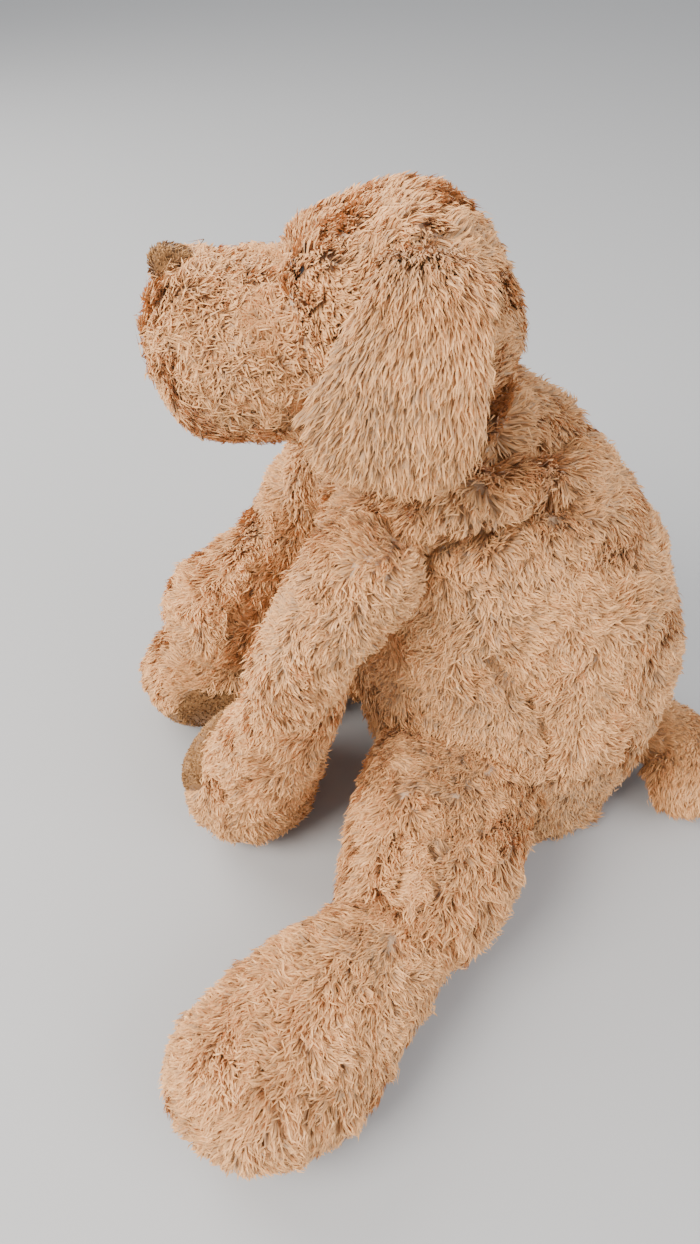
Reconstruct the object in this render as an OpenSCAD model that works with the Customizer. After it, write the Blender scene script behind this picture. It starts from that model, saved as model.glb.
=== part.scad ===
// Seated plush dog: fur skins around fibre stuffing, with weighted pellet pouches.
// The dog faces -Y, its left side is +X, and the origin is on the flat of its seat.
// Each limb starts in a round end that sits in a matching hollow of its parent.

/* [Torso] */
// Widest half-width of the torso
torso_half_w = 53; // [51:0.5:54]
// Half-depth of the torso at the belly
torso_half_d = 56; // [54:0.5:58]

/* [Head] */
// Half-length of the skull, front to back
skull_half_d = 34.5; // [33:0.25:35]
// Half-height of the skull
skull_half_h = 31; // [30:0.25:31.5]
// Half-width of the skull across the cheeks
skull_half_w = 38; // [36:0.5:39]
// Half-width of the muzzle
muzzle_half_w = 30; // [28:0.5:31]
// Half-height of the muzzle
muzzle_half_h = 26; // [24.5:0.5:26.5]
// Radius of the eye bead
eye_r = 4; // [3:0.25:4.5]
// Half-width of the ear at its broadest
ear_half_w = 21.5; // [18:0.5:23]

/* [Arms] */
// Radius of the arm at the shoulder
shoulder_r = 18; // [16:0.5:18.5]
// Radius of the paw
paw_r = 26; // [24:0.5:26.5]

/* [Legs] */
// Radius of the leg at the hip
hip_r = 30; // [28:0.5:30.5]
// Half-width of the foot
foot_half_w = 27; // [25:0.5:29]
// Half-height of the foot
foot_half_h = 21.5; // [20:0.5:22]

/* [Tail] */
// Radius of the tail's root
tail_r = 12.5; // [11:0.5:13]

/* [Cloth] */
// Thickness of a fur skin, backing and pressed pile together
wall = 4; // [3:0.25:4.5]
// Thickness of a short-pile pad on a paw or foot
pad_t = 2; // [1.5:0.1:2.5]
// Clearance around a limb's round root
root_gap = 0.8; // [0.6:0.1:1]
// Clearance around the round roots of the thighs and tail, which are looser
loose_gap = 2.2; // [1.5:0.1:2.2]
// Clearance between a skin and the filling inside it
fill_gap = 0.4; // [0.3:0.1:0.6]

/* [Hidden] */

fur = [0.82, 0.68, 0.50];
fur_dark = [0.72, 0.57, 0.40];
plush_brown = [0.52, 0.38, 0.22];
fibre = [0.93, 0.93, 0.91];
pouch = [0.80, 0.80, 0.76];

sides = 18;       // points round a soft ring
body_rings = 7;   // rings along the middle of a soft tube
cap_rings = 3;    // rings on each rounded end

// Pivots of the joints.
skull_centre = [0, -57, 199.5];
left_shoulder = [40, -66, 139];
right_shoulder = [-40, -66, 139];
left_hip = [40, -30, 37];
right_hip = [-40, -30, 37];
tail_root = [4, 45, 31];
skull_hollow_r = skull_half_d + 2;  // lets the oval skull turn

// Legs: headings of the thighs and feet, and their lengths.
left_thigh_len = 61;
right_thigh_len = 44;  // drawn up a little at the hip
foot_len = 88;
ankle_r = 17;
left_thigh_dir = unit([0.92, -0.372, -0.124]);
right_thigh_dir = unit([0.108, -1, -0.163]);
left_foot_dir = unit([0.66, -0.75, 0]);
right_foot_dir = unit([0.13, -1, 0]);
left_ankle = left_hip + left_thigh_len * left_thigh_dir;
right_ankle = right_hip + right_thigh_len * right_thigh_dir;
foot_z = foot_half_h + pad_t + 0.2;

// Soft tubes are lists of stations: [x, y, z, half-width, half-depth].
torso_path = [
    [0, 5, 0, 38, 33],
    [0, 5, 8, 46, 40],
    [0, 5, 24, 51, 43],
    [0, 5, 48, torso_half_w, 48],
    [0, -2, 76, torso_half_w, torso_half_d - 1],
    [0, -14, 104, 50, 53],
    [0, -31, 132, 45, 47],
    [0, -50, 155, 36, 38]];
torso_top = 4;
muzzle_path = [
    [0, -66, 193, muzzle_half_w - 2, muzzle_half_h - 2],
    [0, -86, 191.5, muzzle_half_w, muzzle_half_h],
    [0, -107, 190.5, muzzle_half_w - 1, muzzle_half_h]];
muzzle_tip = 22;
nose_path = [
    [0, -113, 210.5, 7, 4],
    [0, -118, 213, 9.5, 6.5],
    [0, -121, 214.5, 9, 6]];
ear_path = [
    [30, -53, 227, 12, 1.8],
    [37, -53, 219, 15.5, 1.9],
    [43, -56, 207, 18.5, 2],
    [45.5, -59, 196, ear_half_w, 2],
    [46, -60, 188, ear_half_w - 1, 2]];
ear_tip = 12;
ear_layer = 2.15;  // offset of each ear layer from the ear's middle surface
left_arm_path = [
    concat(left_shoulder, [shoulder_r, shoulder_r]),
    [45.5, -82, 117, 16, 16],
    [43, -88, 90, 16, 16],
    [39, -96, 62, 19, 19],
    [33, -105, 36, paw_r - 1.5, paw_r - 1.5],
    [31, -108.5, 26.3, paw_r, paw_r]];
right_arm_path = [
    concat(right_shoulder, [shoulder_r, shoulder_r]),
    [-46, -88, 113, 15, 15],
    [-34, -98.5, 92.5, 16.5, 16.5],
    [-25, -110, 79.5, 20.5, 20.5],
    [-20, -117, 72.5, paw_r - 1, paw_r - 1]];
left_pad_dir = unit([-0.35, -0.85, 0.4]);
right_pad_dir = unit([0.2, -0.75, -0.6]);
tail_path = [
    concat(tail_root, [tail_r, tail_r]),
    [13, 63, 26, 13.5, 13.5],
    [26, 68, 20, 16.5, 16.5]];
tail_tip = 14;

function unit(v) = v / norm(v);
function flat(v) = [v[0], v[1], v[2]];

// Catmull-Rom curve through the stations p, at t from 0 to 1.
function along(p, t) =
    let (n = len(p) - 1, i = min(floor(t * n), n - 1), u = t * n - i,
         a = p[max(i - 1, 0)], b = p[i], c = p[i + 1], d = p[min(i + 2, n)])
    0.5 * (2 * b + (c - a) * u + (2 * a - 5 * b + 4 * c - d) * u * u
        + (3 * b - a - 3 * c + d) * u * u * u);

function heading(p, t) =
    unit(flat(along(p, min(t + 0.01, 1))) - flat(along(p, max(t - 0.01, 0))));

// One ring: centre c, heading d, width hint w, half-sizes a and b.
function ring(c, d, w, a, b) =
    let (s = unit(w - (w * d) * d), u = cross(d, s))
    [for (k = [0 : sides - 1]) c + a * cos(360 * k / sides) * s + b * sin(360 * k / sides) * u];

// Rings of a rounded end: r is [a, b], reach is its length, dir is +1 or -1 along d.
function end_rings(c, d, w, r, reach, dir) =
    [for (k = [1 : cap_rings])
        let (f = 90 * (dir > 0 ? k : cap_rings + 1 - k) / (cap_rings + 1))
        ring(c + dir * reach * sin(f) * d, d, w, r[0] * cos(f), r[1] * cos(f))];

// Closed tube along stations p. w hints which way its width runs, tail_end and tip_end
// are the lengths of its rounded ends (0 leaves a flat end), inset shrinks it all round.
module soft_tube(p, w, tail_end, tip_end, inset = 0) {
    d0 = heading(p, 0);
    d1 = heading(p, 1);
    s0 = p[0];
    s1 = p[len(p) - 1];
    reach0 = tail_end - inset;
    reach1 = tip_end - inset;
    start = tail_end > 0 ? flat(s0) : flat(s0) + inset * d0;
    first = tail_end > 0
        ? end_rings(start, d0, w, [s0[3] - inset, s0[4] - inset], reach0, -1) : [];
    middle = [for (i = [0 : body_rings])
        let (t = i / body_rings, q = along(p, t), c = i == 0 ? start : flat(q))
        ring(c, heading(p, t), w, q[3] - inset, q[4] - inset)];
    last = tip_end > 0
        ? end_rings(flat(s1), d1, w, [s1[3] - inset, s1[4] - inset], reach1, 1) : [];
    rings = concat(first, middle, last);
    n = len(rings);
    pole0 = tail_end > 0 ? start - reach0 * d0 : start;
    pole1 = tip_end > 0 ? flat(s1) + reach1 * d1 : flat(s1);
    points = concat([for (r = rings, q = r) q], [pole0, pole1]);
    faces = concat(
        [for (i = [0 : n - 2], k = [0 : sides - 1])
            [i * sides + k, (i + 1) * sides + k, (i + 1) * sides + (k + 1) % sides]],
        [for (i = [0 : n - 2], k = [0 : sides - 1])
            [i * sides + k, (i + 1) * sides + (k + 1) % sides, i * sides + (k + 1) % sides]],
        [for (k = [0 : sides - 1]) [n * sides, k, (k + 1) % sides]],
        [for (k = [0 : sides - 1])
            [n * sides + 1, (n - 1) * sides + (k + 1) % sides, (n - 1) * sides + k]]);
    polyhedron(points = points, faces = faces, convexity = 6);
}

// Ball at c with its poles along Z, turned by turn.
module ball(c, r, turn = [0, 0, 0]) {
    translate(c) rotate(turn) sphere(r = r, $fn = 64);
}

// The skull, widest across the cheeks, shrunk all round by inset.
module skull_shape(inset) {
    core = 8;
    reach = skull_half_w - core;
    soft_tube([for (x = [-core, 0, core])
            concat(skull_centre + [x, 0, 0], [skull_half_d, skull_half_h])],
        [0, 1, 0], reach, reach, inset);
}

// Hollows in the torso for the skull, limbs and tail, each grown by extra.
module torso_hollows(extra) {
    ball(skull_centre, skull_hollow_r + extra);
    ball(left_shoulder, shoulder_r + extra);
    ball(right_shoulder, shoulder_r + extra);
    ball(left_hip, hip_r + loose_gap - root_gap + extra);
    ball(right_hip, hip_r + loose_gap - root_gap + extra);
    ball(tail_root, tail_r + loose_gap - root_gap + extra, [90, 0, 0]);
}

// Space in front of the thighs, where the cloth is gathered and holds no stuffing.
module gathered_front(extra) {
    translate([-70, -110 + extra, -10]) cube([140, 82, 78 + extra]);
}

module torso_skin() {
    color(fur)
    difference() {
        soft_tube(torso_path, [1, 0, 0], 0, torso_top);
        difference() {
            soft_tube(torso_path, [1, 0, 0], 0, torso_top, wall);
            torso_hollows(root_gap + wall);
            gathered_front(0);
        }
        torso_hollows(root_gap);
    }
}

module pouch_shape(extra) {
    translate([0, 10, wall + 3 - extra])
        linear_extrude(height = 12 + 2 * extra)
            circle(r = 19 + extra, $fn = 48);
}

module torso_stuffing() {
    color(fibre)
    difference() {
        soft_tube(torso_path, [1, 0, 0], 0, torso_top, wall + fill_gap);
        torso_hollows(root_gap + wall + fill_gap);
        gathered_front(fill_gap);
        pouch_shape(fill_gap);
    }
}

module seat_pellet_pouch() {
    color(pouch) pouch_shape(0);
}

// Ladder stitches that close the back, lying on the skin.
module back_closing_seam() {
    color(fur_dark)
    for (t = [0.44 : 0.03 : 0.68]) {
        q = along(torso_path, t);
        back = cross(heading(torso_path, t), [1, 0, 0]);
        translate(flat(q) + (q[4] + 0.7) * back)
            rotate([0, 90, 0])
                cylinder(r = 0.5, h = 5, center = true, $fn = 24);
    }
}

neck_wad_r = 14;

module neck_wadding() {
    color(fibre) ball(skull_centre, neck_wad_r);
}

function eye_dir(side) = unit([side * 12.5, -25, 18]);

// Puts +Z of its children along the line from the skull's centre to an eye.
module at_eye(side) {
    n = eye_dir(side);
    translate(skull_centre)
        rotate([0, acos(n[2]), atan2(n[1], n[0])])
            children();
}

eye_seat = 33.2;  // distance from the skull's centre to the bead's centre
skin_inside = eye_seat - wall - 0.6;  // distance to the inside of the skin behind it
shank_r = 1.4;
washer_r = 5.5;

module eye_bead_cut(side) {
    at_eye(side) translate([0, 0, eye_seat]) sphere(r = eye_r + 0.1, $fn = 48);
}

module head_skin() {
    color(fur)
    difference() {
        skull_shape(0);
        skull_shape(wall);
        for (side = [1, -1]) {
            eye_bead_cut(side);
            at_eye(side) cylinder(r = shank_r + 0.1, h = eye_seat, $fn = 32);
        }
    }
}

module head_stuffing() {
    color(fibre)
    difference() {
        skull_shape(wall + fill_gap);
        ball(skull_centre, neck_wad_r + root_gap);
        for (side = [1, -1])
            at_eye(side)
                translate([0, 0, skin_inside - 4])
                    cylinder(r = washer_r + 0.5, h = 10, $fn = 32);
    }
}

module muzzle_skin() {
    color(fur)
    difference() {
        soft_tube(muzzle_path, [1, 0, 0], 0, muzzle_tip);
        soft_tube(muzzle_path, [1, 0, 0], 0, muzzle_tip, wall);
        skull_shape(-0.2);
        for (side = [1, -1])
            eye_bead_cut(side);
    }
}

module muzzle_stuffing() {
    color(fibre)
    difference() {
        soft_tube(muzzle_path, [1, 0, 0], 0, muzzle_tip, wall + fill_gap);
        skull_shape(-0.6);
    }
}

module nose() {
    color(plush_brown)
    difference() {
        soft_tube(nose_path, [1, 0, 0], 3, 5);
        soft_tube(muzzle_path, [1, 0, 0], 0, muzzle_tip, -0.2);
    }
}

module eye(side) {
    color([0.05, 0.05, 0.08])
    at_eye(side) {
        translate([0, 0, eye_seat]) sphere(r = eye_r, $fn = 48);
        translate([0, 0, skin_inside - 3])
            cylinder(r = shank_r, h = wall + 3.6, $fn = 32);
    }
}

module eye_washer(side) {
    color([0.9, 0.9, 0.88])
    at_eye(side)
        translate([0, 0, skin_inside - 2.2])
            difference() {
                cylinder(r = washer_r, h = 1.4, $fn = 48);
                translate([0, 0, -1]) cylinder(r = shank_r + 0.05, h = 4, $fn = 32);
            }
}

// One layer of an ear: off moves it outward from the ear's middle surface.
module ear_layer_shape(off) {
    n = len(ear_path) - 1;
    moved = [for (i = [0 : n])
        let (d = heading(ear_path, i / n), out = cross(d, [0, 1, 0]))
        ear_path[i] + off * concat(out, [0, 0])];
    soft_tube(moved, [0, 1, 0], 1.5, ear_tip);
}

module left_ear_outer() {
    color(fur) ear_layer_shape(ear_layer);
}

module left_ear_lining() {
    color(fur_dark) ear_layer_shape(-ear_layer);
}

module right_ear_outer() {
    color(fur) mirror([1, 0, 0]) ear_layer_shape(ear_layer);
}

module right_ear_lining() {
    color(fur_dark) mirror([1, 0, 0]) ear_layer_shape(-ear_layer);
}

module arm_skin(path) {
    color(fur)
    difference() {
        soft_tube(path, [1, 0, 0], shoulder_r, paw_r);
        soft_tube(path, [1, 0, 0], shoulder_r, paw_r, wall);
    }
}

paw_pouch_r = 13;

module arm_stuffing(path) {
    color(fibre)
    difference() {
        soft_tube(path, [1, 0, 0], shoulder_r, paw_r, wall + fill_gap);
        ball(flat(path[len(path) - 1]), paw_pouch_r + fill_gap);
    }
}

module paw_pellet_pouch(path) {
    color(pouch) ball(flat(path[len(path) - 1]), paw_pouch_r);
}

// Round pad that wraps the ball of a paw, facing dir.
module paw_pad(path, dir) {
    c = flat(path[len(path) - 1]);
    color(plush_brown)
    difference() {
        intersection() {
            ball(c, paw_r + pad_t);
            translate(c)
                rotate([0, acos(dir[2]), atan2(dir[1], dir[0])])
                    cylinder(r = 0.66 * paw_r, h = 2 * paw_r, $fn = 64);
        }
        ball(c, paw_r + 0.1);
        soft_tube(path, [1, 0, 0], shoulder_r, paw_r, -0.2);
    }
}

// Stations from the hip's round root to the cuff round the ankle.
function leg_path(hip, ankle) =
    let (run = ankle - hip, cuff = 1 - 8 / norm(run))
    [concat(hip, [hip_r, hip_r]),
     concat(hip + 0.38 * run, [28, 28]),
     concat(hip + 0.7 * run, [26.5, 27]),
     concat(hip + cuff * run, [23.5, 23.5])];

module leg_skin(hip, ankle) {
    color(fur)
    difference() {
        soft_tube(leg_path(hip, ankle), [0, 0, 1], hip_r, 0);
        difference() {
            soft_tube(leg_path(hip, ankle), [0, 0, 1], hip_r, 0, wall);
            ball(ankle, ankle_r + root_gap + wall);
        }
        ball(ankle, ankle_r + root_gap);
    }
}

module leg_stuffing(hip, ankle) {
    color(fibre)
    difference() {
        soft_tube(leg_path(hip, ankle), [0, 0, 1], hip_r, 0, wall + fill_gap);
        ball(ankle, ankle_r + root_gap + wall + fill_gap);
    }
}

function on_floor(p) = [p[0], p[1], foot_z];

function foot_path(ankle, dir) = [
    concat(ankle, [ankle_r, ankle_r]),
    concat(on_floor(ankle + 0.24 * foot_len * dir) + [0, 0, 2], [23, 21.5]),
    concat(on_floor(ankle + 0.5 * foot_len * dir), [foot_half_w, foot_half_h]),
    concat(on_floor(ankle + (foot_len - 22) * dir), [foot_half_w - 1.5, foot_half_h - 1.5])];
foot_tip = 22;

function level(dir) = cross([0, 0, 1], dir);

module foot_shape(ankle, dir, inset) {
    soft_tube(foot_path(ankle, dir), level(dir), ankle_r, foot_tip, inset);
}

module foot_skin(ankle, dir) {
    color(fur)
    difference() {
        foot_shape(ankle, dir, 0);
        foot_shape(ankle, dir, wall);
    }
}

foot_pouch_r = 14;

module foot_stuffing(ankle, dir) {
    color(fibre)
    difference() {
        foot_shape(ankle, dir, wall + fill_gap);
        ball(on_floor(ankle + 0.55 * foot_len * dir), foot_pouch_r + fill_gap);
    }
}

module foot_pellet_pouch(ankle, dir) {
    color(pouch) ball(on_floor(ankle + 0.55 * foot_len * dir), foot_pouch_r);
}

// Oval sole wrapped on the underside, rolled towards the foot's left by roll degrees.
module foot_sole(ankle, dir, roll) {
    long = 27;
    wide = 17;
    color(plush_brown)
    difference() {
        intersection() {
            foot_shape(ankle, dir, -pad_t);
            translate(on_floor(ankle + 0.58 * foot_len * dir))
                rotate([0, 0, atan2(dir[1], dir[0])])
                    rotate([180 + roll, 0, 0])
                        linear_extrude(height = 40)
                            polygon([for (k = [0 : 31])
                                [long * cos(k * 11.25), wide * sin(k * 11.25)]]);
        }
        foot_shape(ankle, dir, -0.1);
    }
}

module tail_skin() {
    color(fur)
    difference() {
        soft_tube(tail_path, [1, 0, 0], tail_r, tail_tip);
        soft_tube(tail_path, [1, 0, 0], tail_r, tail_tip, wall);
    }
}

module tail_stuffing() {
    color(fibre) soft_tube(tail_path, [1, 0, 0], tail_r, tail_tip, wall + fill_gap);
}

torso_skin();
torso_stuffing();
seat_pellet_pouch();
back_closing_seam();
neck_wadding();
head_skin();
head_stuffing();
muzzle_skin();
muzzle_stuffing();
nose();
eye(1);  // left_eye
eye(-1);  // right_eye
eye_washer(1);  // left_eye_washer
eye_washer(-1);  // right_eye_washer
left_ear_outer();
left_ear_lining();
right_ear_outer();
right_ear_lining();
arm_skin(left_arm_path);  // left_arm_skin
arm_stuffing(left_arm_path);  // left_arm_stuffing
paw_pellet_pouch(left_arm_path);  // left_paw_pellet_pouch
paw_pad(left_arm_path, left_pad_dir);  // left_paw_pad
arm_skin(right_arm_path);  // right_arm_skin
arm_stuffing(right_arm_path);  // right_arm_stuffing
paw_pellet_pouch(right_arm_path);  // right_paw_pellet_pouch
paw_pad(right_arm_path, right_pad_dir);  // right_paw_pad
leg_skin(left_hip, left_ankle);  // left_leg_skin
leg_stuffing(left_hip, left_ankle);  // left_leg_stuffing
foot_skin(left_ankle, left_foot_dir);  // left_foot_skin
foot_stuffing(left_ankle, left_foot_dir);  // left_foot_stuffing
foot_pellet_pouch(left_ankle, left_foot_dir);  // left_foot_pellet_pouch
foot_sole(left_ankle, left_foot_dir, -50);  // left_foot_sole
leg_skin(right_hip, right_ankle);  // right_leg_skin
leg_stuffing(right_hip, right_ankle);  // right_leg_stuffing
foot_skin(right_ankle, right_foot_dir);  // right_foot_skin
foot_stuffing(right_ankle, right_foot_dir);  // right_foot_stuffing
foot_pellet_pouch(right_ankle, right_foot_dir);  // right_foot_pellet_pouch
foot_sole(right_ankle, right_foot_dir, 64);  // right_foot_sole
tail_skin();
tail_stuffing();
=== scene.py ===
# Seated plush dog. Each stuffed piece is a sculpted, closed cloth skin with a mesh pile of tufted strands
# on it: long tan fur on the body, and short brown plush on the nose, pads and soles.
# Shapes and strands are worked out in millimetres, and mesh_object() turns them into metres.
# The dog faces -Y, its left side is +X, and it sits on z = 0.
import copy
import math
import bpy
import numpy as np
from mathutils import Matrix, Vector
from mathutils.bvhtree import BVHTree


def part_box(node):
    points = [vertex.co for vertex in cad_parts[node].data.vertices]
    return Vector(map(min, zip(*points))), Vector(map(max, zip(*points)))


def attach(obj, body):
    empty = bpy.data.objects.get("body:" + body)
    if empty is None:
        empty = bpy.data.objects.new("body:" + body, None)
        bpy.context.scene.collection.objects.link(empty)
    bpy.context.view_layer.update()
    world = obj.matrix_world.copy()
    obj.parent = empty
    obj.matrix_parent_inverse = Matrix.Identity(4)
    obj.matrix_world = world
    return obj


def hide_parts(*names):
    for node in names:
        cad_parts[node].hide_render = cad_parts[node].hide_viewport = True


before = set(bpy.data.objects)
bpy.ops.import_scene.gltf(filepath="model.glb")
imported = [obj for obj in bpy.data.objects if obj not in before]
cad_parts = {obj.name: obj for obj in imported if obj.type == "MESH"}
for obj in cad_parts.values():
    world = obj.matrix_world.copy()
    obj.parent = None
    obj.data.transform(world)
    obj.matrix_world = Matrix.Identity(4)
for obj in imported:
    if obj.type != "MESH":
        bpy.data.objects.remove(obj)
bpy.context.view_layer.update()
MM = 0.001


def unit(v):
    v = np.asarray(v, float)
    return v / np.maximum(np.linalg.norm(v, axis=-1, keepdims=True), 1e-9)


# ---------------------------------------------------------------- camera
IMAGE_HEIGHT = 1244.0
FOCAL_LENGTH = 870.0  # in pixels of that image
cam = bpy.data.cameras.new("camera")
cam.sensor_fit = "VERTICAL"
cam.sensor_height = 36.0
cam.lens = cam.sensor_height * FOCAL_LENGTH / IMAGE_HEIGHT
camera = bpy.data.objects.new("camera", cam)
bpy.context.scene.collection.objects.link(camera)
camera.location = (0.235, -0.070, 0.308)
camera.rotation_euler = Vector((-0.718, 0.0, -0.696)).to_track_quat("-Z", "Y").to_euler()
bpy.context.scene.camera = camera


# ------------------------------------------------------------- materials
def linear(rgb):
    """Screen colour from 0 to 255 as the linear RGBA that shaders take."""
    return [((c / 255 + 0.055) / 1.055) ** 2.4 if c > 10 else c / 255 / 12.92 for c in rgb] + [1.0]


def plain(name, rgb, rough=0.85, sheen=0.12, specular=0.12, coat=0.0):
    m = bpy.data.materials.new(name)
    m.use_nodes = True
    p = m.node_tree.nodes["Principled BSDF"]
    p.inputs["Base Color"].default_value = linear(rgb)
    p.inputs["Roughness"].default_value = rough
    p.inputs["Specular IOR Level"].default_value = specular
    p.inputs["Sheen Weight"].default_value = sheen
    p.inputs["Sheen Roughness"].default_value = 0.45
    p.inputs["Sheen Tint"].default_value = (1.0, 0.93, 0.84, 1.0)
    p.inputs["Coat Weight"].default_value = coat
    m.diffuse_color = linear(rgb)
    return m


def mottled(name, dark, light, scale, rough=0.85, sheen=0.3, bump=0.4, depth=0.0006, fine=1400.0):
    """Cloth colour that drifts from dark to light, with a fine fibre bump."""
    m = plain(name, light, rough, sheen)
    nt = m.node_tree
    p = nt.nodes["Principled BSDF"]
    where = nt.nodes.new("ShaderNodeTexCoord")
    drift = nt.nodes.new("ShaderNodeTexNoise")
    drift.inputs["Scale"].default_value = scale
    drift.inputs["Detail"].default_value = 4.0
    ramp = nt.nodes.new("ShaderNodeValToRGB")
    ramp.color_ramp.elements[0].position = 0.32
    ramp.color_ramp.elements[0].color = linear(dark)
    ramp.color_ramp.elements[1].position = 0.68
    ramp.color_ramp.elements[1].color = linear(light)
    grain = nt.nodes.new("ShaderNodeTexNoise")
    grain.inputs["Scale"].default_value = fine
    grain.inputs["Detail"].default_value = 3.0
    lump = nt.nodes.new("ShaderNodeBump")
    lump.inputs["Strength"].default_value = bump
    lump.inputs["Distance"].default_value = depth
    nt.links.new(where.outputs["Object"], drift.inputs["Vector"])
    nt.links.new(where.outputs["Object"], grain.inputs["Vector"])
    nt.links.new(drift.outputs["Fac"], ramp.inputs["Fac"])
    nt.links.new(ramp.outputs["Color"], p.inputs["Base Color"])
    nt.links.new(grain.outputs["Fac"], lump.inputs["Height"])
    nt.links.new(lump.outputs["Normal"], p.inputs["Normal"])
    return m


FUR = [plain(f"fur_tone_{i}", c, rough=0.6, sheen=0.1, specular=0.3) for i, c in enumerate([
    (170, 134, 98), (188, 146, 106), (204, 153, 103), (219, 162, 105),
    (233, 174, 115), (244, 187, 128), (252, 200, 144)])]
PLUSH = [plain(f"brown_plush_tone_{i}", c, sheen=0.2) for i, c in enumerate([
    (112, 78, 46), (140, 99, 60), (164, 120, 76), (184, 140, 94)])]
backing = mottled("fur_backing", (190, 158, 126), (210, 178, 146), 60.0, sheen=0.05)
plush_backing = mottled("brown_plush_backing", (112, 78, 46), (146, 104, 64), 90.0)
bead = plain("safety_eye", (10, 10, 16), rough=0.06, sheen=0.0, specular=0.6, coat=0.6)
fibre = mottled("fibre_fill", (226, 226, 222), (246, 246, 243), 120.0, sheen=0.1, bump=0.8)
pouch = mottled("pouch_cloth", (188, 186, 176), (214, 212, 204), 300.0, sheen=0.1)
washer = mottled("washer_plastic", (222, 222, 216), (236, 236, 232), 200.0, rough=0.5, sheen=0.0)
thread = mottled("seam_thread", (150, 112, 76), (186, 146, 106), 500.0, sheen=0.1)


# ----------------------------------------------------------------- noise
class Noise:
    """Smooth vector noise: a sum of seeded waves, about size mm across."""

    def __init__(self, seed, size, waves=14):
        r = np.random.RandomState(seed)
        pace = 2 * math.pi / (2.2 * size)
        self.k = unit(r.normal(size=(3, waves, 3))) * r.uniform(0.6, 1.6, (3, waves, 1)) * pace
        self.a = r.uniform(0, 2 * math.pi, (3, waves))
        self.s = math.sqrt(2.0 / waves)

    def __call__(self, p):
        return np.stack([self.s * np.sin(p @ self.k[i].T + self.a[i]).sum(1) for i in range(3)], 1)


SWIRL = Noise(3, 13.0)  # turns the comb
FINE = Noise(5, 4.5)  # lock to lock
PATCH = Noise(8, 22.0)  # worn and flattened patches
LUMPS = Noise(11, 26.0)  # lumps of the filling


# ----------------------------------------------------------- soft shapes
def along(p, t):
    """The point at t, from 0 to 1, on a smooth curve through the rows of p."""
    n = len(p) - 1
    i = min(int(t * n), n - 1)
    u = t * n - i
    a, b, c, d = p[max(i - 1, 0)], p[i], p[i + 1], p[min(i + 2, n)]
    square = (2 * a - 5 * b + 4 * c - d) * u ** 2
    cube = (3 * b - a - 3 * c + d) * u ** 3
    return 0.5 * (2 * b + (c - a) * u + square + cube)


CAP_END = 88.0  # a round end's last ring, in degrees from its first; a fan of triangles closes it


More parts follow.
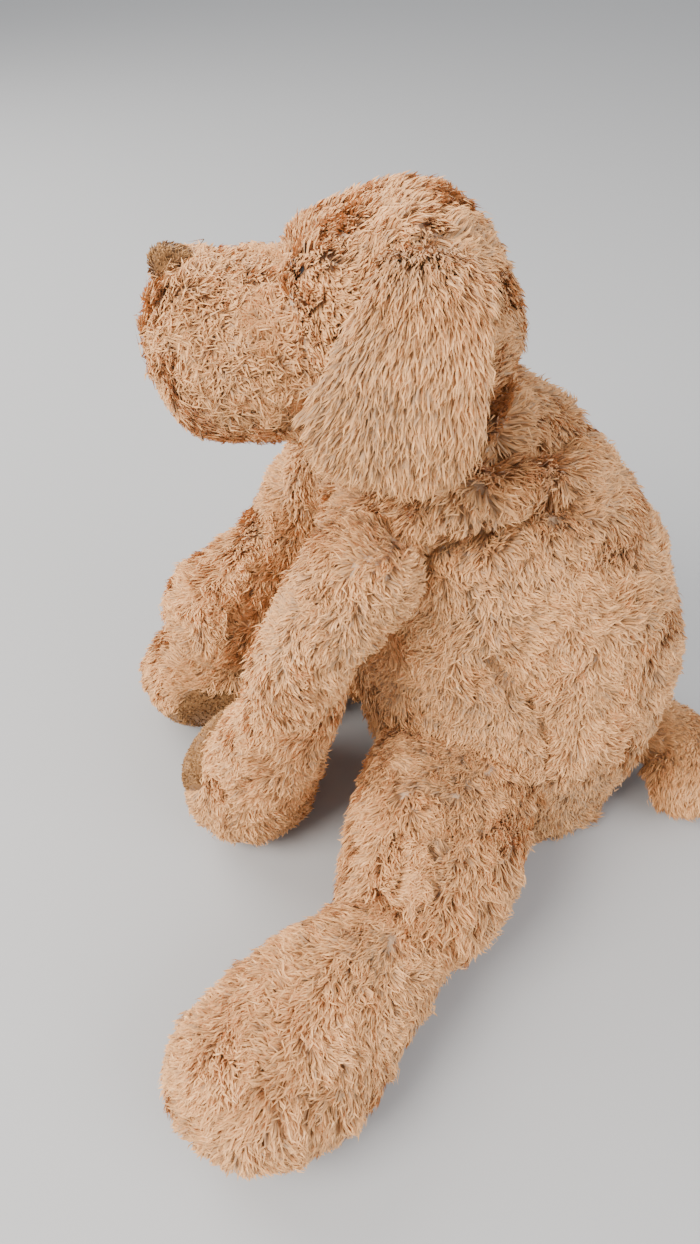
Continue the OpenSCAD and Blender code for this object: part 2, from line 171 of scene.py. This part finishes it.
class Skin:
    """Closed tube of rings along stations [x, y, z, half-width, half-depth].
    wide is the way of the half-width, tail and tip are the lengths of its round ends, or 0.01 for a flat one.
    The cloth lies under mm inside the stations, and its pile fills them out."""

    def __init__(self, path, wide, tail, tip, sides=56, rings=44, caps=9, under=3.0):
        p = np.array(path, float)
        p[:, 3:] -= under
        tail, tip = max(tail - under, 0.01), max(tip - under, 1.0)
        rows, heads, spots = [], [], []

        def ring(t, centre, d, a, b):
            s = unit(np.array(wide) - (np.array(wide) @ d) * d)
            u = np.cross(d, s)
            k = 2 * math.pi * np.arange(sides) / sides
            rows.append(centre + a * np.cos(k)[:, None] * s + b * np.sin(k)[:, None] * u)
            heads.append(np.tile(d, (sides, 1)))
            spots.append(np.full(sides, t))

        def heading(t):
            return unit(along(p, min(t + 0.01, 1))[:3] - along(p, max(t - 0.01, 0))[:3])

        d0, d1 = heading(0), heading(1)
        for k in range(caps, 0, -1):
            f = math.radians(CAP_END * k / caps)
            ring(0.0, p[0][:3] - tail * math.sin(f) * d0, d0, *(p[0][3:] * math.cos(f)))
        for i in range(rings + 1):
            q = along(p, i / rings)
            ring(i / rings, q[:3], heading(i / rings), *q[3:])
        for k in range(1, caps + 1):
            f = math.radians(CAP_END * k / caps)
            ring(1.0, p[-1][:3] + tip * math.sin(f) * d1, d1, *(p[-1][3:] * math.cos(f)))
        self.close(rows, np.concatenate(heads + [np.array([d0, d1])]), sides)
        self.t = np.concatenate(spots + [np.array([0.0, 1.0])])

    def close(self, rows, heads, sides):
        """Joins rings of points into one closed surface. heads is each point's way along the tube."""
        n = len(rows)
        self.v = np.concatenate(rows + [np.array([rows[0].mean(0), rows[-1].mean(0)])])
        self.h = heads
        self.pile = np.ones(len(self.v))
        r, c = np.meshgrid(np.arange(n - 1), np.arange(sides), indexing="ij")
        nxt = (c + 1) % sides
        this, following = r * sides, (r + 1) * sides
        self.quads = np.stack([this + c, this + nxt, following + nxt, following + c], -1).reshape(-1, 4)
        k = np.arange(sides)
        k_next = (k + 1) % sides
        first_hub, last_hub = np.full(sides, n * sides), np.full(sides, n * sides + 1)
        last = (n - 1) * sides
        self.tris = np.concatenate([np.stack([first_hub, k_next, k], 1),
                                    np.stack([last_hub, last + k, last + k_next], 1)])

    def triangles(self):
        q = self.quads
        return np.concatenate([q[:, [0, 1, 2]], q[:, [0, 2, 3]], self.tris])

    def normals(self):
        f = self.triangles()
        v = self.v
        n = np.cross(v[f[:, 1]] - v[f[:, 0]], v[f[:, 2]] - v[f[:, 0]])
        out = np.zeros_like(v)
        for i in range(3):
            np.add.at(out, f[:, i], n)
        return unit(out)

    def outward(self):
        """Makes the faces look outward."""
        f = self.triangles()
        v = self.v - self.v.mean(0)
        vol = np.einsum("ij,ij->i", v[f[:, 0]], np.cross(v[f[:, 1]], v[f[:, 2]])).sum()
        if vol < 0:
            self.quads = self.quads[:, ::-1]
            self.tris = self.tris[:, ::-1]
        return self

    def lumpy(self, amount):
        self.v = self.v + amount * self.normals() * LUMPS(self.v)[:, :1]
        return self

    def socket(self, centre, r):
        """Pushes the surface inside a ball down to the ball's far side: a hollow for a limb's root."""
        n = self.normals()
        d = self.v - np.array(centre)
        c = (d ** 2).sum(1) - r * r
        b = -(n * d).sum(1)
        t = np.where(c < 0, -b + np.sqrt(np.maximum(b * b - c, 0)), 0.0)
        self.v = self.v - n * t[:, None]
        return self

    def bulge(self, centre, size, amount):
        """Swells (or, with a negative amount, dents) the surface round a point, in mm."""
        d = ((self.v - np.array(centre)) / np.array(size)) ** 2
        self.v = self.v + amount * np.exp(-d.sum(1))[:, None] * self.normals()
        return self

    def crease(self, points, depth, width):
        """Pulls the surface in along a line of points, in mm. The pile is shorter there."""
        line = np.array(points, float)
        near = np.full(len(self.v), 1e9)
        for a, b in zip(line[:-1], line[1:]):
            t = np.clip(((self.v - a) @ (b - a)) / ((b - a) @ (b - a)), 0, 1)[:, None]
            near = np.minimum(near, np.linalg.norm(self.v - a - t * (b - a), axis=1))
        deep = np.exp(-((near / width) ** 2))
        self.v = self.v - depth * deep[:, None] * self.normals()
        self.pile = self.pile * (1 - 0.65 * deep)
        return self

    def tree(self):
        return BVHTree.FromPolygons(self.v.tolist(), self.triangles().tolist())

    def floor(self, z):
        """Flattens what lies under z."""
        self.v[:, 2] = np.maximum(self.v[:, 2], z)
        return self


class Patch(Skin):
    """Oval pad sewn on a skin: half-sizes a along long and b across, facing way, thick mm proud."""

    def __init__(self, skin, centre, way, long, a, b, thick, rings=10, sides=44):
        tree, way = skin.tree(), unit(way)
        long = unit(long - (long @ way) * way)
        self.frame = (np.array(centre), way, long, np.cross(way, long), a, b)
        top, under = [], []
        for i in range(rings + 1):
            r = max(i / rings, 0.03)
            up, down = [], []
            for k in 2 * math.pi * np.arange(sides) / sides:
                start = centre + a * r * math.cos(k) * long + b * r * math.sin(k) * self.frame[3]
                hit, n, _, _ = tree.ray_cast(Vector(start + 70 * way), Vector(-way))
                if hit is None:
                    hit, n, _, _ = tree.find_nearest(Vector(start + 20 * way))
                up.append(np.array(hit + n * (thick * math.sqrt(1 - r ** 6) + 0.1)))
                down.append(np.array(hit - n * 0.8))
            top.append(np.array(up))
            under.insert(0, np.array(down))
        rows = top + under
        self.close(rows, np.tile(long, (len(rows) * sides + 2, 1)), sides)
        self.outward()

    def covers(self, p, grow=0.95):
        c, way, long, wide, a, b = self.frame
        d = p - c
        return (((d @ long) / a) ** 2 + ((d @ wide) / b) ** 2 < grow) & (d @ way > 0)


def mesh_object(name, v, polys, mats):
    """A mesh from vertices in mm and a list of (faces, material index) blocks of one size each."""
    me = bpy.data.meshes.new(name)
    me.vertices.add(len(v))
    me.vertices.foreach_set("co", (np.asarray(v, float) * MM).astype(np.float32).ravel())
    loops = np.concatenate([f.ravel() for f, _ in polys])
    sizes = np.concatenate([np.full(len(f), f.shape[1]) for f, _ in polys])
    which = np.concatenate([np.broadcast_to(m, len(f)) for f, m in polys])
    me.loops.add(len(loops))
    me.loops.foreach_set("vertex_index", loops.astype(np.int32))
    me.polygons.add(len(sizes))
    me.polygons.foreach_set("loop_start", np.concatenate([[0], np.cumsum(sizes)[:-1]]).astype(np.int32))
    me.polygons.foreach_set("material_index", which.astype(np.int32))
    me.polygons.foreach_set("use_smooth", np.ones(len(sizes), bool))
    me.update(calc_edges=True)
    me.validate()
    for m in mats:
        me.materials.append(m)
    o = bpy.data.objects.new(name, me)
    bpy.context.scene.collection.objects.link(o)
    return o


def skin_object(name, skin, body, node, mat):
    skin.outward()
    o = mesh_object(name, skin.v, [(skin.quads, 0), (skin.tris, 0)], [mat])
    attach(o, body)
    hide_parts(node)
    return o


# ------------------------------------------------------------------ pile
MOST = 60000  # strands in one piece
LOW = 0.35  # no strand goes under this height, because the dog sits on the floor


def pile(name, skin, body, slot, comb, length, density, seed, mats=FUR, keep=None, lift=0.44, stand=0.45,
         swirl=0.7, width=0.64, locks=11, spread=1.8, clump=0.55, curl=0.13, tone=3.0):
    """Plants strands over a skin, in locks of so many whose tips draw together. Lengths are in mm.

    density is in strands per square mm. comb(points, normals, headings) is the way that the strands lie, and
    keep(points, normals) says where they grow. lift is how steeply they rise, and stand the same at a pole,
    where the comb meets the skin head on. swirl turns the comb, spread is a lock's radius at its root, clump
    draws its tips together, curl bends the strands, and tone is their middle colour in mats.
    """
    rng = np.random.RandomState(seed)
    f = skin.triangles()
    v = skin.v
    area = np.linalg.norm(np.cross(v[f[:, 1]] - v[f[:, 0]], v[f[:, 2]] - v[f[:, 0]]), axis=1) / 2
    n_locks = int(area.sum() * density / locks)
    pick = np.searchsorted(np.cumsum(area) / area.sum(), (np.arange(n_locks) + rng.rand(n_locks)) / n_locks)
    pick = np.minimum(pick, len(f) - 1)
    a, b = rng.rand(2, n_locks)
    flip = a + b > 1
    a, b = np.where(flip, 1 - a, a), np.where(flip, 1 - b, b)
    w = np.stack([1 - a - b, a, b], 1)[:, :, None]

    def at_locks(x):
        return (x[f[pick]] * w).sum(1)

    # where each lock grows: its centre, normal, heading and length factor
    c, n = at_locks(v), unit(at_locks(skin.normals()))
    h, tall = at_locks(skin.h), at_locks(skin.pile[:, None])
    if keep is not None:
        ok = keep(c, n)
        c, n, h, tall = c[ok], n[ok], h[ok], tall[ok]
    way = unit(comb(c, n, h))
    way = way - (way * n).sum(1, keepdims=True) * n
    upright = np.exp(-(np.linalg.norm(way, axis=1, keepdims=True) / 0.3) ** 2)
    way = unit(way)
    turn = swirl * (SWIRL(c)[:, :1] + 0.6 * FINE(c)[:, :1])
    way = np.cos(turn) * way + np.sin(turn) * np.cross(n, way)
    k = len(c)

    def each(x):
        """A lock's value, given to each of its strands."""
        return np.repeat(x, locks, axis=0)

    far = length * tall * (1 + 0.12 * PATCH(c)[:, 1:2]) * rng.uniform(0.85, 1.15, (k, 1))
    up = lift * (1 + 0.25 * FINE(c)[:, :1]) + rng.normal(0, 0.06, (k, 1))
    up = np.clip(up + (stand - up) * upright, 0.12, 0.95)
    goal = c + far * (up * n + np.sqrt(1 - up ** 2) * way)
    side = np.cross(n, way)

    # each strand: a root, a middle and a tip
    m = k * locks
    r = np.sqrt(rng.rand(m, 1)) * spread
    q = rng.rand(m, 1) * 2 * math.pi
    root = each(c) + r * (np.cos(q) * each(way) + np.sin(q) * each(side)) - 0.5 * each(n)
    lone = each(far) * rng.uniform(0.75, 1.2, (m, 1))
    strand_way = unit(each(way) + 0.2 * rng.normal(size=(m, 3)))
    tip = root + lone * (each(up) * each(n) + np.sqrt(1 - each(up) ** 2) * strand_way)
    tip = tip * (1 - clump) + each(goal) * clump + 0.22 * rng.normal(size=(m, 3))
    bend = curl * lone * rng.normal(size=(m, 1))
    mid = 0.68 * tip + 0.32 * root + each(n) * lone * 0.11 + each(side) * bend
    for x in (root, mid, tip):
        x[:, 2] = np.maximum(x[:, 2], LOW)

    # its ribbon: two points across at the root and at the middle, and one at the tip
    t0, t1 = unit(mid - root), unit(tip - mid)
    roll = unit(each(n) + 0.4 * rng.normal(size=(m, 3)))
    rows = []
    for spot, t, size in ((root, t0, 1.0), (mid, unit(t0 + t1), 0.9)):
        s = unit(np.cross(t, roll)) * width / 2 * size * each(rng.uniform(0.8, 1.2, (k, 1)))
        rows += [spot - s, spot + s]
    verts = np.stack(rows + [tip], 1)
    verts[:, :, 2] = np.maximum(verts[:, :, 2], LOW - 0.2)

    # colours drift over the skin and vary from strand to strand; each root is darker and each tip lighter,
    # and the darker roots are painted shade down among the strands
    shade = tone + 0.3 * each(PATCH(c)[:, :1]) + 0.25 * each(FINE(c)[:, 1:2]) + rng.normal(0, 0.75, (m, 1))
    top = len(mats) - 1
    shaded_root_tone = np.clip(np.round(shade - 1.0), 0, top).astype(int).ravel()
    tip_tone = np.clip(np.round(shade + 0.3), 0, top).astype(int).ravel()

    # a large pile is cut into wedges around the dog's upright axis
    parts = max(1, math.ceil(m / MOST))
    order = np.arange(m)
    if parts > 1:
        order = np.argsort(np.arctan2(each(c)[:, 0], -each(c)[:, 1]), kind="stable")
    for i, take in enumerate(np.array_split(order, parts)):
        base = 5 * np.arange(len(take))[:, None]
        quads, tris = base + np.array([0, 1, 3, 2]), base + np.array([2, 3, 4])
        o = mesh_object(name if parts == 1 else f"{name}_{i + 1}", verts[take].reshape(-1, 3),
                        [(quads, shaded_root_tone[take]), (tris, tip_tone[take])], mats)
        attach(o, body)


def along_tube(p, n, h):
    return h


def short_plush(name, skin, body, seed, **settings):
    """Short, dense brown plush."""
    look = dict(comb=along_tube, length=1.4, density=3.4, lift=0.6, width=0.5, tone=1.9, spread=0.5, locks=3,
                clump=0.3, swirl=0.5)
    pile(name, skin, body, "brown_plush", seed=seed, mats=PLUSH, **{**look, **settings})


DOWN = np.array([0.0, 0.0, -1.0])
BACK = np.array([0.0, 1.0, 0.0])


def outside(centre, r):
    return lambda p: ((p - np.array(centre)) ** 2).sum(1) > r * r


def buried(p, tree, deep=3.0):
    """True where a point lies under a skin by more than deep mm."""
    out = np.zeros(len(p), bool)
    for i, q in enumerate(p):
        near, n, _, _ = tree.find_nearest(q)
        out[i] = (Vector(q) - near).dot(n) < -deep
    return out


# ----------------------------------------------------------- the stations
skull = np.array([0, -57, 199.5])
left_shoulder, right_shoulder = np.array([40, -66, 139.0]), np.array([-40, -66, 139.0])
left_hip, right_hip = np.array([40, -30, 37.0]), np.array([-40, -30, 37.0])
tail_root = np.array([4, 45, 31.0])
foot_z = 21.5 + 2 + 0.2

torso = Skin([[0, 5, 0, 38, 33], [0, 5, 8, 46, 40], [0, 1, 24, 51, 47], [0, -6, 48, 53, 58],
              [0, -9, 76, 53, 62], [0, -18, 104, 50, 57], [0, -31, 132, 45, 47], [0, -50, 155, 36, 38]],
             [1, 0, 0], 0.01, 4, sides=150, rings=110)
torso.outward().lumpy(0.9)
whole_torso = torso.tree()
# the hollow for each limb's root: its centre and radius
sockets = ((left_hip, 31.4), (right_hip, 31.4), (left_shoulder, 18), (right_shoulder, 18),
           (tail_root, 13.9), (skull, 36.5))
for spot, r in sockets:
    torso.socket(spot, r - 2.2)
filling, outer_way = copy.deepcopy(torso), torso.normals()

# folds of the slumped cloth: a roll behind each shoulder, the neck's fold, and the hips' creases
behind_arm = [[29, -62, 119], [31, -56, 131], [35, -46, 145], [36, -35, 148], [35, -28, 153], [32, -18, 156],
              [26, -5, 155]]
round_neck = [[24, -45, 164], [25, -32, 169], [22, -21, 169], [12, -7, 165], [5, -4, 163]]
down_side = [[45, -26, 109], [47, -15, 97], [48, -6, 82], [49, 0, 62]]
for s in (1, -1):
    side = np.array([s, 1, 1])
    torso.bulge(side * [32, -36, 161], [12, 24, 6], 4.0).bulge(side * [42, -50, 152], [14, 14, 9], 3.5)
    torso.crease(side * behind_arm, 11.0, 3.4)
    torso.crease(side * round_neck, 8.0, 3.4)
    torso.crease(side * down_side, 4.0, 4.0)
torso.floor(0.0)
# the filling stays 4 mm inside the cloth, and a little further under the folds
sunk = np.maximum(((filling.v - torso.v) * outer_way).sum(1, keepdims=True), 0)
filling.v = filling.v - (4.0 + 1.2 * sunk) * outer_way
filling.floor(1.5)


def ladder_stitches(count, thread_r):
    """The stitches up the back that close the body, laid on its folded cloth between the CAD seam's ends."""
    low_end, high_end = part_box("back_closing_seam")
    body_tree = torso.tree()
    route = [[-2.2, 0, -0.6], [-0.8, 1.0, -0.2], [0.8, 1.0, 0.2], [2.2, 0, 0.6]]
    out = []
    for z in np.linspace(low_end[2] / MM + 1, high_end[2] / MM - 1, count):
        spot = np.array(body_tree.ray_cast(Vector((0, 150, z)), Vector((0, -1, 0)))[0])
        stations = [[*(spot + q), thread_r, thread_r] for q in route]
        out.append(Skin(stations, [0, 0, 1], thread_r, 1.0, sides=8, rings=8, caps=3, under=0).outward())
    return out


eyes = [skull + 33.2 * unit([s * 12.5, -25, 18]) for s in (1, -1)]
head = Skin([[-8, -57, 199.5, 34.5, 31], [0, -57, 199.5, 34.5, 31], [8, -57, 199.5, 34.5, 31]],
            [0, 1, 0], 30, 30, sides=64, rings=10, caps=20)
head.outward().lumpy(0.6).bulge([0, -84, 218], [26, 12, 9], 0.8).bulge([0, -57, 229], [24, 26, 9], 3.0)
for eye in eyes:
    head.bulge(eye, [9, 9, 9], 2.6)

muzzle = Skin([[0, -66, 193, 28, 24], [0, -86, 191.5, 30, 26], [0, -107, 190.5, 29, 26]],
              [1, 0, 0], 0.01, 21, sides=64, rings=24, caps=14)
muzzle.outward().lumpy(0.6)
for s in (1, -1):
    muzzle.bulge([s * 9, -116, 208], [6, 7, 6], 3.0)

nose = Skin([[0, -112, 210.5, 7, 4], [0, -116.5, 213, 9.0, 5.6], [0, -119.5, 214.8, 8.0, 4.8]],
            [1, 0, 0], 3, 4.5, sides=36, rings=14, caps=8, under=0.5)
nose.outward()

# each ear starts in a tongue under the crown's fur, so that it stays joined to the head when it flaps
ear_roots = {1: [[21, -53, 223, 8, 1.7], [29, -53, 223, 10, 1.7], [37, -53, 218, 13, 1.8]],
             -1: [[21, -53, 223, 8, 1.7], [27, -53, 220, 10, 1.7], [34, -53, 214, 13, 1.8]]}
ear_flap = [[43, -56, 207, 16, 1.9], [45.5, -59, 196, 18.8, 1.9], [46, -60.5, 188, 18, 1.9]]
EAR_GAP = 2.15  # from the middle of an ear to each of its two panels


def ear_skin(side, off):
    """One of an ear's two panels, off mm from its middle. side is 1 for the left ear and -1 for the right."""
    p = np.array(ear_roots[side] + ear_flap, float)
    moved = p.copy()
    for i in range(len(p)):
        t = i / (len(p) - 1)
        d = unit(along(p, min(t + 0.01, 1))[:3] - along(p, max(t - 0.01, 0))[:3])
        moved[i, :3] += off * np.cross(d, [0, 1, 0])
    moved[:, 0] *= side
    return Skin(moved, [0, 1, 0], 1.5, 6.5, sides=48, rings=36, caps=10, under=0).outward().lumpy(0.35)


arm_paths = {
    "left": [[40, -66, 139, 18, 18], [45.5, -82, 117, 16, 16], [43, -88, 90, 16, 16], [39, -96, 62, 19, 19],
             [33, -105, 36, 24.5, 24.5], [31, -108.5, 26.3, 26, 26]],
    "right": [[-40, -66, 139, 18, 18], [-44.5, -86, 111, 15, 15], [-34, -98, 91.5, 16.5, 16.5],
              [-25, -110, 79.5, 20.5, 20.5], [-20, -117, 72.5, 25, 25]]}
pad_sizes = {"left": 19.5, "right": 17.0}
pad_dirs = {"left": unit([-0.33, -0.75, 0.57]), "right": unit([0.0, -0.68, -0.73])}
# each thigh: its hip, its length and its way
thighs = {"left": (left_hip, 61, unit([0.92, -0.372, -0.124])),
          "right": (right_hip, 44, unit([0.108, -1, -0.163]))}
foot_dirs = {"left": unit([0.66, -0.75, 0.0]), "right": unit([0.13, -1.0, 0.0])}
sole_rolls = {"left": -50, "right": 72}  # degrees that a sole is turned about its foot from facing down


def leg_stations(hip, run):
    cuff = 1 - 3 / np.linalg.norm(run)
    return [[*hip, 30, 30], [*(hip + 0.38 * run), 29, 29], [*(hip + 0.7 * run), 26.5, 27],
            [*(hip + cuff * run), 23.5, 23.5]]


def foot_stations(ankle, d):
    def ahead(s):
        x, y = (ankle + s * d)[:2] + [1.2 * np.sign(ankle[0]), 1.0]
        return np.array([x, y, foot_z])

    return [[*ankle, 17, 17], [*(ahead(21.1) + [0, 0, 2]), 23, 21.5], [*ahead(44), 27, 21.5],
            [*ahead(66), 25.5, 20]]


# ------------------------------------------------- body, head and muzzle
skin_object("torso_fur_cloth", torso, "torso", "torso_skin", backing)
skin_object("torso_filling", filling, "torso", "torso_stuffing", fibre)
stitches = ladder_stitches(11, 0.4)
loops = [(f + i * len(x.v), 0) for i, x in enumerate(stitches) for f in (x.quads, x.tris)]
seam = mesh_object("back_seam_stitches", np.concatenate([x.v for x in stitches]), loops, [thread])
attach(seam, "torso")
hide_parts("back_closing_seam")
skin_object("head_fur_cloth", head, "head", "head_skin", backing)
skin_object("muzzle_fur_cloth", muzzle, "head", "muzzle_skin", backing)
skin_object("nose_cloth", nose, "head", "nose", plush_backing)


def clear_of_eyes(p, r=1.9):
    return outside(eyes[0], r)(p) & outside(eyes[1], r)(p)


def in_skull(p):
    return (((p - skull) / np.array([38, 34.5, 31])) ** 2).sum(1) < 0.97


def in_muzzle(p):
    within = (p[:, 0] / 29) ** 2 + ((p[:, 2] - 191.5) / 25.5) ** 2 < 0.93
    return within & (p[:, 1] > -112) & (p[:, 1] < -66)


def torso_keeps(p, n):
    """No fur under the seat or in the sockets, but for the hips', which show when a leg swings out."""
    ok = p[:, 2] > 1.5
    for spot, r in sockets:
        ok &= (p[:, 2] < 60) | outside(spot, r - 3.0)(p)
    return ok


def head_keeps(p, n):
    """No fur over the eyes, inside the muzzle or where the head sits on the neck."""
    return clear_of_eyes(p) & ~in_muzzle(p) & ((p[:, 2] > 172) | (p[:, 1] < -75))


def muzzle_keeps(p, n):
    """No fur over the eyes, inside the skull or in the notch above the nose."""
    return clear_of_eyes(p) & ~in_skull(p) & outside([0, -122, 219], 4.5)(p)


def away_from(centre):
    """A comb that fans out from a point."""
    return lambda p, n, h: unit(p - centre)


pile("torso_pile", torso, "torso", "long_fur", lambda p, n, h: unit(p - skull) - 0.2 * BACK, 7.0, 3.9, 21,
     keep=torso_keeps)
pile("head_pile", head, "head", "long_fur", away_from([0, -96, 204]), 5.5, 4.6, 22, keep=head_keeps)
pile("muzzle_pile", muzzle, "head", "long_fur", away_from([0, -118, 214]), 4.8, 5.0, 23, keep=muzzle_keeps,
     lift=0.42, stand=0.8, swirl=1.1, curl=0.3, tone=3.2)
short_plush("nose_pile", nose, "head", 24, comb=lambda p, n, h: 0.5 * BACK, length=1.3, density=3.6, tone=1.8,
            swirl=0.6)

# --------------------------------------------------------- ears and limbs
skull_tree = head.tree()


def ear_fan(p, n, h):
    """An ear's comb: along it and down, and fanning a little to its front and back edges."""
    return h + 0.6 * DOWN + 0.04 * (p - np.array([0, -55, 0])) * np.array([0, 1, 0])


def on_top(patch):
    """Keeps to a patch's face, and off its hidden underside."""
    return lambda p, n: n @ patch.frame[1] > 0.1


def make_ear(name, s):
    part = f"{name}_ear"

    def outer_keeps(p, n):
        return (n[:, 0] * s + 0.5 * n[:, 2] > -0.25) & ~buried(p, skull_tree)

    def lining_keeps(p, n):
        return (n[:, 0] * s + 0.5 * n[:, 2] < 0.0) & ~buried(p, skull_tree)

    outer, lining = ear_skin(s, EAR_GAP), ear_skin(s, -EAR_GAP)
    for layer in (outer, lining):
        layer.pile = np.clip((abs(layer.v[:, 0]) - 16) / 18, 0.35, 1.0)
    skin_object(f"{part}_fur_cloth", outer, part, f"{part}_outer", backing)
    skin_object(f"{part}_lining_cloth", lining, part, f"{part}_lining", backing)
    pile(f"{part}_pile", outer, part, "long_fur", ear_fan, 9.0, 5.6, 31, keep=outer_keeps,
         lift=0.24, stand=0.2, swirl=0.1, width=0.55, spread=1.3, clump=0.45, curl=0.07, tone=2.7)
    pile(f"{part}_lining_pile", lining, part, "fur_lining", ear_fan, 4.0, 3.4, 32, keep=lining_keeps,
         lift=0.35, stand=0.3, swirl=0.4, tone=2.2)


def make_arm(name):
    part, path, size = f"{name}_arm", arm_paths[name], pad_sizes[name]
    arm = Skin(path, [1, 0, 0], 18, 26, sides=52, rings=52, caps=14).outward().lumpy(0.7).floor(0.5)
    skin_object(f"{part}_fur_cloth", arm, part, f"{part}_skin", backing)
    pad = Patch(arm, np.array(path[-1][:3]), pad_dirs[name], np.array([0, 0.2, -1.0]), size, size, 3.4)
    skin_object(f"{name}_pad_cloth", pad, part, f"{name}_paw_pad", plush_backing)
    short_plush(f"{name}_pad_pile", pad, part, 36, keep=on_top(pad))
    # the arms' fur is a little lighter (tone 3.3) than the body's: painted light that brightens the far arm,
    # which lies in the head's shade
    pile(f"{part}_pile", arm, part, "long_fur", along_tube, 6.4, 4.1, 33, tone=3.3,
         keep=lambda p, n: ~pad.covers(p) & ~buried(p, whole_torso, 9.0))


def make_leg(name, s):
    """Makes the thigh and shin, and returns the ankle."""
    part = f"{name}_leg"
    hip, span, way = thighs[name]
    run = span * way
    leg = Skin(leg_stations(hip, run), [0, 0, 1], 30, 2, sides=64, rings=30, caps=14, under=2)
    leg.outward().lumpy(0.8).bulge(hip + np.array([12 * s, -26, 24]), [18, 15, 18], 10.0)
    leg.bulge(hip + 0.45 * run + 29 * unit(np.cross([0, 0, s], run)), [22, 22, 22], 4.5).floor(0.5)
    skin_object(f"{part}_fur_cloth", leg, part, f"{part}_skin", backing)
    pile(f"{part}_pile", leg, part, "long_fur", lambda p, n, h: 0.9 * h + 0.4 * DOWN, 6.8, 4.0, 34, tone=3.1,
         keep=lambda p, n: ~buried(p, whole_torso, 14.0))
    return hip + run


def make_foot(name, ankle):
    part, toes = f"{name}_foot", foot_dirs[name]
    across = np.cross([0, 0, 1], toes)
    foot = Skin(foot_stations(ankle, toes), across, 17, 22, sides=60, rings=40, caps=14, under=1.5)
    foot.outward().lumpy(0.7).floor(0.5)
    skin_object(f"{part}_fur_cloth", foot, part, f"{part}_skin", backing)
    roll = math.radians(sole_rolls[name])
    sole_way = math.sin(roll) * across + math.cos(roll) * DOWN
    middle = np.array([*(ankle + 51 * toes)[:2], foot_z])
    sole = Patch(foot, middle, sole_way, toes, 29, 18.5, 3.2).floor(0.2)
    skin_object(f"{name}_sole_cloth", sole, part, f"{part}_sole", plush_backing)
    short_plush(f"{name}_sole_pile", sole, part, 37, keep=on_top(sole))
    pile(f"{part}_pile", foot, part, "long_fur", lambda p, n, h: 0.4 * h + 0.7 * DOWN, 6.8, 4.1, 35, tone=3.2,
         keep=lambda p, n: ~sole.covers(p))


for name, s in (("left", 1), ("right", -1)):
    make_ear(name, s)
    make_arm(name)
    make_foot(name, make_leg(name, s))

tail = Skin([[4, 45, 31, 12.5, 12.5], [13, 63, 26, 13.5, 13.5], [26, 68, 20, 16.5, 16.5]],
            [1, 0, 0], 12.5, 14, sides=44, rings=24, caps=10, under=1.5)
tail.outward().lumpy(0.5).floor(0.5)
skin_object("tail_fur_cloth", tail, "tail", "tail_skin", backing)
pile("tail_pile", tail, "tail", "long_fur", lambda p, n, h: h + 0.3 * DOWN, 6.8, 4.2, 41, swirl=0.4)

# ------------------------------------------------------ CAD nodes that stay
for node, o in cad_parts.items():
    if node.endswith("_stuffing") or node == "neck_wadding":
        mat = fibre
    elif node.endswith("_pouch"):
        mat = pouch
    elif node in ("left_eye", "right_eye"):
        mat = bead
    elif node.endswith("_washer"):
        mat = washer
    else:
        continue
    for slot in o.material_slots:
        slot.material = mat

# ------------------------------------------------------- floor and lights
bpy.ops.mesh.primitive_plane_add(size=4.0, location=(0, 0, -0.0002))
ground = bpy.context.object
ground.name = "floor"
paper = plain("floor_paper", (182, 181, 180), rough=0.9, sheen=0.0, specular=0.1)
ground.data.materials.append(paper)


def lamp(name, where, at, power, size, colour):
    light = bpy.data.lights.new(name, "AREA")
    light.energy, light.size, light.color = power, size, colour
    o = bpy.data.objects.new(name, light)
    bpy.context.scene.collection.objects.link(o)
    o.location = where
    o.rotation_euler = (Vector(at) - Vector(where)).to_track_quat("-Z", "Y").to_euler()


lamp("key", (0.55, -0.85, 0.95), (0, -0.03, 0.1), 27.0, 0.7, (1.0, 0.96, 0.91))
lamp("fill", (0.6, 0.8, 0.7), (0, 0, 0.1), 9.0, 0.8, (0.95, 0.97, 1.0))
lamp("back", (-0.6, -0.85, 0.85), (0, 0, 0.1), 13.0, 0.8, (1.0, 0.99, 0.97))
world = bpy.data.worlds.new("studio")
bpy.context.scene.world = world
world.use_nodes = True
sky = world.node_tree.nodes["Background"].inputs
sky["Color"].default_value = (0.92, 0.95, 1.0, 1.0)
sky["Strength"].default_value = 0.85
